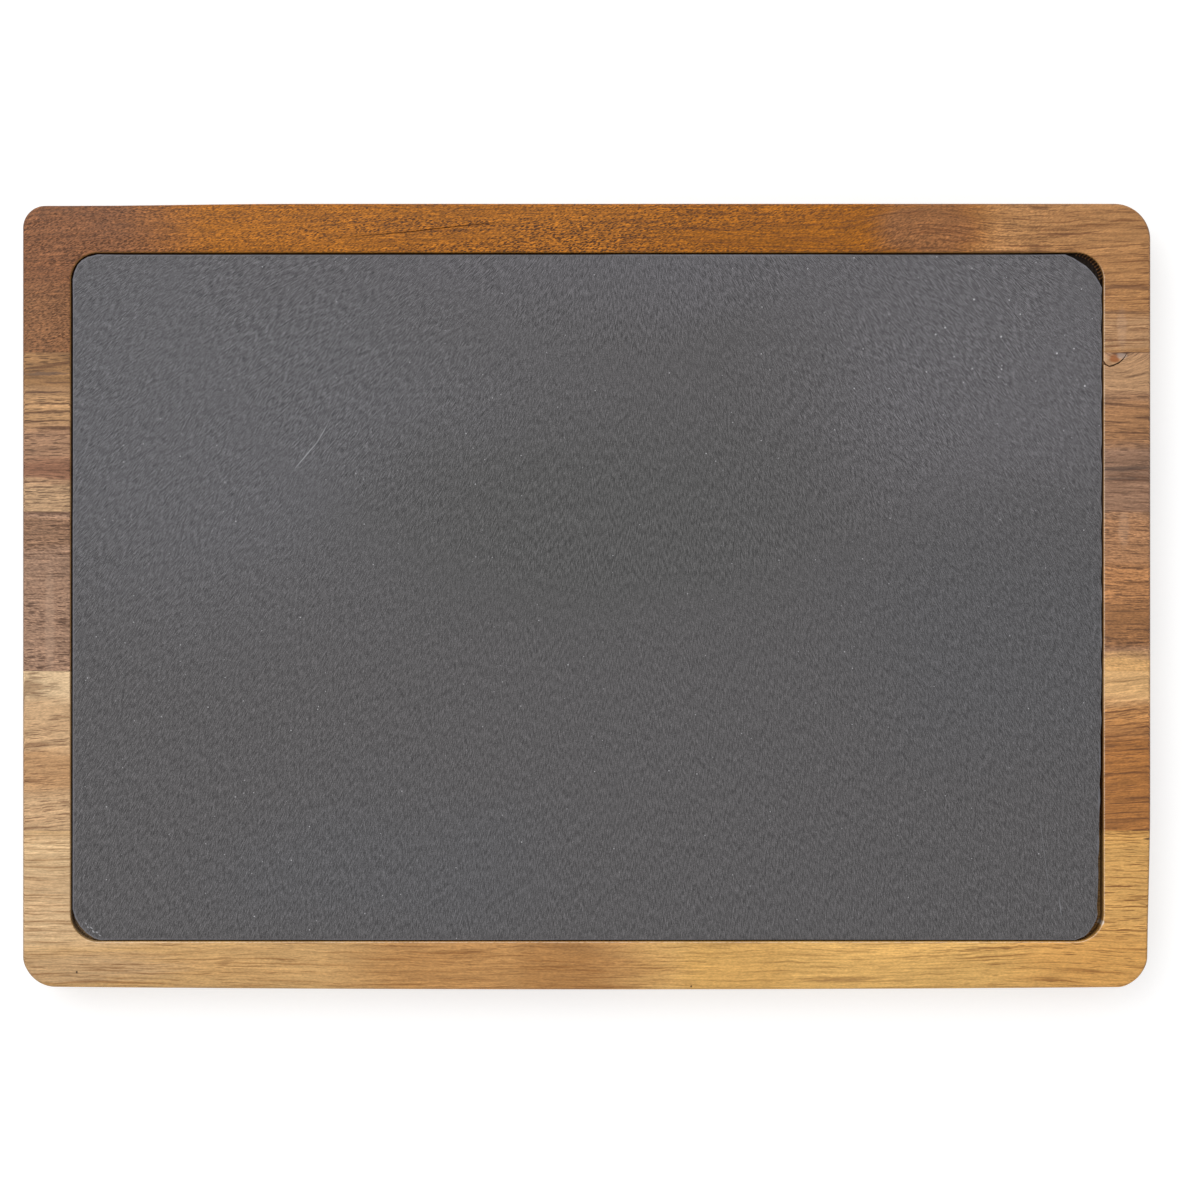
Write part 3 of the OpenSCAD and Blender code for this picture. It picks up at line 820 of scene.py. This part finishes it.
def makePushHole():
    # what the hole and its eased lower end take away, spun round from its section
    bm = bmesh.new()
    radius = board["pushHole"]
    steps = easedSteps(board["pushHoleEase"])
    x, z = radius, board["pushHoleEase"]
    section = [(0, slateLow.z + board["overrun"]), (radius, slateLow.z + board["overrun"]), (x, z)]
    for inwards, upwards in steps:
        x += inwards
        z -= upwards
        section.append((x, z))
    section += [(x, -board["overrun"]), (0, -board["overrun"])]
    vertices = [bm.verts.new((x, 0, z)) for x, z in section]
    edges = [bm.edges.new(pair) for pair in zip(vertices, vertices[1:])]
    bmesh.ops.spin(bm, geom=vertices + edges, cent=(0, 0, 0), axis=(0, 0, 1), angle=2 * pi,
                   steps=board["holeSteps"], use_merge=True)
    bmesh.ops.remove_doubles(bm, verts=bm.verts[:], dist=weld)
    bmesh.ops.recalc_face_normals(bm, faces=bm.faces[:])
    middle = (recessLow + recessHigh) / 2
    bmesh.ops.translate(bm, verts=bm.verts[:], vec=(middle.x, middle.y, boardLow.z))
    return finishPiece(bm, "push hole", [], board["sharpAngle"])


def makeCrack(crack):
    # a thin wedge along the crack, standing a little out of the wood
    path = crack["path"]
    bm = bmesh.new()
    bmesh.ops.create_grid(bm, x_segments=len(path) - 1, y_segments=1, size=1)
    for vertex in bm.verts:
        x, y, halfWidth = path[round((vertex.co.x + 1) / 2 * (len(path) - 1))]
        vertex.co = (x * mm, (y + halfWidth * vertex.co.y) * mm, boardHigh.z + board["crackOverrun"])
    lower = bmesh.ops.extrude_face_region(bm, geom=bm.faces[:])["geom"]
    lowerVertices = [g for g in lower if isinstance(g, bmesh.types.BMVert)]
    down = crack["depth"] * mm + board["crackOverrun"]
    bmesh.ops.translate(bm, verts=lowerVertices, vec=(0, 0, -down))
    bmesh.ops.recalc_face_normals(bm, faces=bm.faces[:])
    return finishPiece(bm, "crack", [], board["sharpAngle"])


def makeStaves():
    blank = makeBlank()
    for name in staveNames:
        low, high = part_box(name)
        seams = [y for y in (low.y, high.y) if boardLow.y + mm < y < boardHigh.y - mm]
        bm = blank.copy()
        for seam in seams:
            side = 1 if seam < (low.y + high.y) / 2 else -1
            sliceAt(bm, (0, seam, 0), (0, side, 0), dist=board["seamReach"], clear_inner=True)
            bmesh.ops.edgeloop_fill(bm, edges=[e for e in bm.edges if e.is_boundary])
        bmesh.ops.recalc_face_normals(bm, faces=bm.faces[:])
        for face in bm.faces:
            middle = face.calc_center_median()
            inRecess = all(recessLow[i] - board["ribDepth"] < middle[i] < recessHigh[i] + board["ribDepth"]
                           for i in range(2))
            if inRecess and slateLow.z - mm / 2 < middle.z < boardHigh.z - board["rimEase"]:
                face.material_index = 1
        stave = staves[name]
        materials = [woodMaterial("oiled acacia " + name, stave, seams),
                     woodMaterial("routed acacia " + name, stave, seams, routed=True)]
        piece = finishPiece(bm, name + "_wood", materials, board["sharpAngle"])
        for crack in cracks.get(name, []):
            cutAway(piece, makeCrack(crack), board["sharpAngle"])
        if name == "middle_stave":
            cutAway(piece, makePushHole(), board["sharpAngle"])
        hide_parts(name)
        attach(piece, "board")
        print("stave:", name, len(piece.data.polygons), "faces")
    blank.free()


makeStaves()


# slate

# Slate, split along its own layers and dressed by hand, then oiled a little. Splitting leaves fine
# feathered lines that fan out from where the chisel went in; the broken edges are paler, partly painted
# highlight.
slate = {
    "colour": "#5a5859",
    # lighter towards the back: the slate's own cloudy tone, with painted sheen from the lamp behind laid over
    # it
    "patches": [
        (-120, 60, 110, 70, "#616063"), (20, 112, 170, 32, "#605e61"),
        (120, 70, 60, 50, "#646265"), (0, 22, 70, 36, "#565555"),
        (125, -10, 50, 40, "#59585a"), (-60, -80, 55, 26, "#5a595b"),
    ],
    "cloud": ((40, 30, 30), (30, 30, 0), 3.0),     # how patches wander: grains and swing in mm, and detail
    "patchEdge": (1.35, 0.3),
    "fanMiddle": (12, 138),          # mm
    "fanDrift": 0.003,               # how strongly the lines bend towards the front, per mm
    "fanScales": ((390, 0), (740, 60), (1350, 130)),   # lines per radian, and from which radius in mm
    "fanBlend": 20,                  # mm over which one gives way to the next
    "fanLength": 2.0,                # mm
    "fanShear": 0.37,                # of that length, from line to line, so that they don't start in rows
    "fanSwing": 1.9,
    "grain": (0.2, 0.18, 0.2),
    "grainSwing": 1.3,
    "nicks": ("#98979b", 0.55, (0.68, 0.8)),      # short pale marks along the lines
    "specks": ("#c4c3c6", 0.85, (-0.01, 0.02)),
    "speckGap": 2.7,                 # mm
    "speckSize": 0.072,              # of that gap, the largest
    "speckCrowd": (138, 78, 60, 45, 1.6),   # place and half sizes in mm, and how much larger there
    "speckCrowdEdge": (1.2, 0.4),
    "brokenEdgeAndHighlight": ("#8f909a", 0.35, (0.985, 0.93)),   # paler broken edges with a painted highlight, where the face turns away from lying flat
    "scratchEdge": (1.3, 0.5),
    "roughness": (0.55, 0.75),
    "specular": 0.25,
    "relief": 0.02 * mm,
    "scratches": [
        (-82.2, 41.2, 5.6, 0.17, 50, "#9a9a9d", 0.9),
        (-77.4, 47.6, 3.6, 0.15, 60, "#9a9a9d", 0.75),
        (134, -76, 15, 0.12, 97, "#8f8f93", 0.3),
        (138.5, -90.6, 3, 0.2, 98, "#97979b", 0.4),
        (-146.5, -95.6, 0.4, 0.14, -50, "#b4b4b8", 0.6),
        (-145.9, -96.7, 0.3, 0.2, -40, "#b4b4b8", 0.6),
        (-144.9, -96.9, 0.5, 0.18, -35, "#b4b4b8", 0.7),
        (-144.3, -98.0, 0.5, 0.2, -42, "#b4b4b8", 0.7),
        (-143.3, -98.2, 0.4, 0.2, -20, "#b4b4b8", 0.7),
        (-142.4, -99.1, 0.5, 0.15, -25, "#b4b4b8", 0.6),
    ],
    "flatAngle": 0.5,                # degrees, below which two faces of the CAD plate are joined
    "gridStep": 2.0 * mm,
    "undulation": ((0.16, (55, 38)), (0.05, (14, 11))),   # mm deep, and mm long and wide
}


def fanLines(tree, inMm):
    # lines that start at the fan's middle and bend towards the front, about equally spaced everywhere
    x, y = slate["fanMiddle"]
    fromMiddle = addNode(tree, "VectorMath", {0: inMm, 1: (-x, -y, 0)}, operation="ADD")
    flat = addNode(tree, "VectorMath", {0: fromMiddle, 1: (1, 1, 0)}, operation="MULTIPLY")
    radius = addNode(tree, "VectorMath", {0: flat}, out="Value", operation="LENGTH")
    parts = addNode(tree, "SeparateXYZ", {0: flat}).node.outputs
    frontwards = addNode(tree, "Math", {0: parts["Y"], 1: -1.0}, operation="MULTIPLY")
    turn = addNode(tree, "Math", {0: parts["X"], 1: frontwards}, operation="ARCTAN2")
    line = addNode(tree, "Math", {0: parts["X"], 1: slate["fanDrift"], 2: turn}, operation="MULTIPLY_ADD")
    along = addNode(tree, "Math", {0: radius, 1: slate["fanLength"]}, operation="DIVIDE")
    lines = None
    for scale, start in slate["fanScales"]:
        across = addNode(tree, "Math", {0: line, 1: scale}, operation="MULTIPLY")
        sheared = addNode(tree, "Math", {0: across, 1: slate["fanShear"], 2: along}, operation="MULTIPLY_ADD")
        place = addNode(tree, "CombineXYZ", {0: across, 1: sheared, 2: float(scale)})
        here = addNode(tree, "TexNoise", {"Vector": place, "Scale": 1.0, "Detail": 1.0})
        if lines is None:
            lines = here
        else:
            share = addNode(tree, "MapRange", {0: radius, 1: start, 2: start + slate["fanBlend"]},
                            interpolation_type="SMOOTHSTEP")
            lines = addNode(tree, "Mix", {0: share, 2: lines, 3: here}, data_type="FLOAT")
    return lines


def slateMaterial():
    material, tree, shader = newMaterial("riven slate")
    inMm, normal = placeInMm(tree)
    colour = linearColour(slate["colour"])
    cloudy = wandered(tree, inMm, *slate["cloud"])
    for *place, patchColour in slate["patches"]:
        colour = stain(tree, colour, spot(tree, cloudy, *place), patchColour, 1.0, slate["patchEdge"])
    lines = fanLines(tree, inMm)
    grain = grained(tree, inMm, slate["grain"])
    colour = shaded(tree, colour, lines, slate["fanSwing"])
    colour = shaded(tree, colour, grain, slate["grainSwing"])
    colour = stain(tree, colour, lines, *slate["nicks"])

    # specks of dust and chipped grains
    scaled = addNode(tree, "Mapping", {"Vector": inMm, "Scale": [1 / slate["speckGap"]] * 3})
    cells = addNode(tree, "TexVoronoi", {"Vector": scaled, "Scale": 1.0}).node.outputs
    chance = addNode(tree, "SeparateXYZ", {0: cells["Color"]})
    *place, more = slate["speckCrowd"]
    away = spot(tree, inMm, *place)
    start, full = slate["speckCrowdEdge"]
    size = addNode(tree, "MapRange", {0: away, 1: start, 2: full, 3: slate["speckSize"],
                                      4: slate["speckSize"] * more})
    reach = addNode(tree, "Math", {0: chance, 1: size}, operation="MULTIPLY")
    inside = addNode(tree, "Math", {0: reach, 1: cells["Distance"]}, operation="SUBTRACT")
    colour = stain(tree, colour, inside, *slate["specks"])
    for *place, scratchColour, strength in slate["scratches"]:
        colour = stain(tree, colour, spot(tree, inMm, *place), scratchColour, strength, slate["scratchEdge"])

    # paler broken edges, partly a painted highlight on the slate's arris
    upright = addNode(tree, "SeparateXYZ", {0: normal}).node.outputs["Z"]
    lying = addNode(tree, "Math", {0: upright}, operation="ABSOLUTE")
    colour = stain(tree, colour, lying, *slate["brokenEdgeAndHighlight"])

    tree.links.new(colour, shader.inputs["Base Color"])
    height = addNode(tree, "Math", {0: lines, 1: grain}, operation="ADD")
    finishSurface(tree, shader, grain, height, slate)
    return material


def makeSlate():
    bm = bmesh.new()
    bm.from_mesh(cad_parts["slate_plate"].data)
    bmesh.ops.remove_doubles(bm, verts=bm.verts[:], dist=weld)
    bmesh.ops.dissolve_limit(bm, angle_limit=radians(slate["flatAngle"]), verts=bm.verts[:],
                             edges=bm.edges[:])
    step = slate["gridStep"]
    for axis in (1, 0):
        normal = Vector((1 - axis, axis, 0))
        for i in range(1, int((slateHigh[axis] - slateLow[axis]) / step)):
            sliceAt(bm, normal * (slateLow[axis] + i * step), normal, dist=weld)
    for vertex in bm.verts:
        if vertex.co.z > slateHigh.z - tiny:
            for depth, (long, wide) in slate["undulation"]:
                place = Vector((vertex.co.x / mm / long, vertex.co.y / mm / wide, long))
                vertex.co.z -= depth * mm * (0.5 + 0.5 * noise.noise(place))
    piece = finishPiece(bm, "slate_stone", [slateMaterial()])
    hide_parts("slate_plate")
    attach(piece, "slate")
    print("slate:", len(piece.data.polygons), "faces")


makeSlate()
